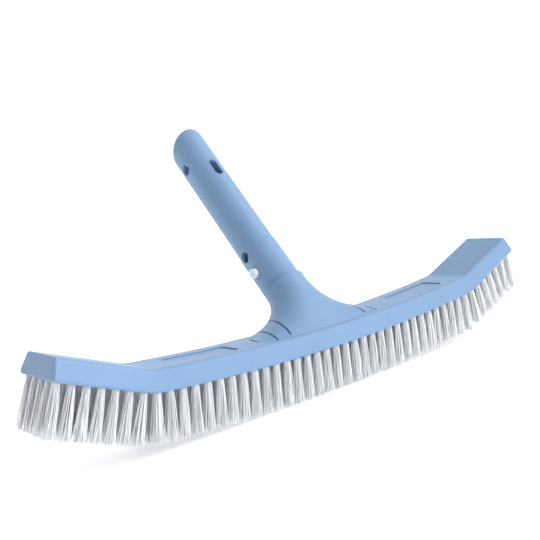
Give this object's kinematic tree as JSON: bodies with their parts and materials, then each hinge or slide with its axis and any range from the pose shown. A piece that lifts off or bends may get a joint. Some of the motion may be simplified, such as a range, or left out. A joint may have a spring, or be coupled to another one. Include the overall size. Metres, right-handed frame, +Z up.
{
  "type": "pool wall brush",
  "caption": "Curved pool wall brush head with upturned ends, rows of nylon tufts, and a leaning tubular spigot with a spring clip that locks it in a pole.",
  "frame": {"origin": "on the axis of the pole spigot, at the start of its lead-in stretch, just above the spare lock holes", "axes": "+X along the bar to its right end, -Y to the bar's front, +Z up; the bristles point down and the spigot leans back to +Y"},
  "size_m": [0.403, 0.1471, 0.1853],
  "materials": {
    "blue_plastic": "satin moulded plastic, fine even grain",
    "white_plastic": "smooth white moulded plastic",
    "nylon_bristle": "white nylon filament, slightly translucent",
    "steel_anchor": "flat stainless anchor strip"
  },
  "bodies": {
    "brush": {"brush_back": "blue_plastic", "tufts_row1_left": "nylon_bristle", "tufts_row1_middle": "nylon_bristle", "tufts_row1_right": "nylon_bristle", "tufts_row2_left": "nylon_bristle", "tufts_row2_middle": "nylon_bristle", "tufts_row2_right": "nylon_bristle", "tufts_row3_left": "nylon_bristle", "tufts_row3_middle": "nylon_bristle", "tufts_row3_right": "nylon_bristle", "tufts_row4_left": "nylon_bristle", "tufts_row4_middle": "nylon_bristle", "tufts_row4_right": "nylon_bristle", "tufts_row5_left": "nylon_bristle", "tufts_row5_middle": "nylon_bristle", "tufts_row5_right": "nylon_bristle", "anchors_row1": "steel_anchor", "anchors_row2": "steel_anchor", "anchors_row3": "steel_anchor", "anchors_row4": "steel_anchor", "anchors_row5": "steel_anchor", "clip_bend": "white_plastic"},
    "button_left": {"lock_button_left": "white_plastic"},
    "button_right": {"lock_button_right": "white_plastic"},
    "arm_left": {"clip_arm_left": "white_plastic"},
    "arm_right": {"clip_arm_right": "white_plastic"}
  },
  "joints": [
    {"name": "button_left_press", "type": "slide", "parent": "brush", "child": "button_left", "axis": [1, 0, 0], "range_m": [0, 0.0044], "stiffness_N_per_m": 2500, "springref_m": -0.002},
    {"name": "button_right_press", "type": "slide", "parent": "brush", "child": "button_right", "axis": [-1, 0, 0], "range_m": [0, 0.0044], "stiffness_N_per_m": 2500, "springref_m": -0.002},
    {"name": "arm_left_flex", "type": "hinge", "parent": "brush", "child": "arm_left", "pos_m": [-0.0046, 0.01449, 0.01655], "axis": [0, -0.7524, 0.6587], "range_deg": [0, 6]},
    {"name": "arm_right_flex", "type": "hinge", "parent": "brush", "child": "arm_right", "pos_m": [0.0046, 0.01449, 0.01655], "axis": [0, 0.7524, -0.6587], "range_deg": [0, 6]}
  ],
  "couplings": [
    {"joint": "arm_left_flex", "follows": "button_left_press", "rad_per_m": 22.831},
    {"joint": "arm_right_flex", "follows": "button_right_press", "rad_per_m": 22.831}
  ]
}
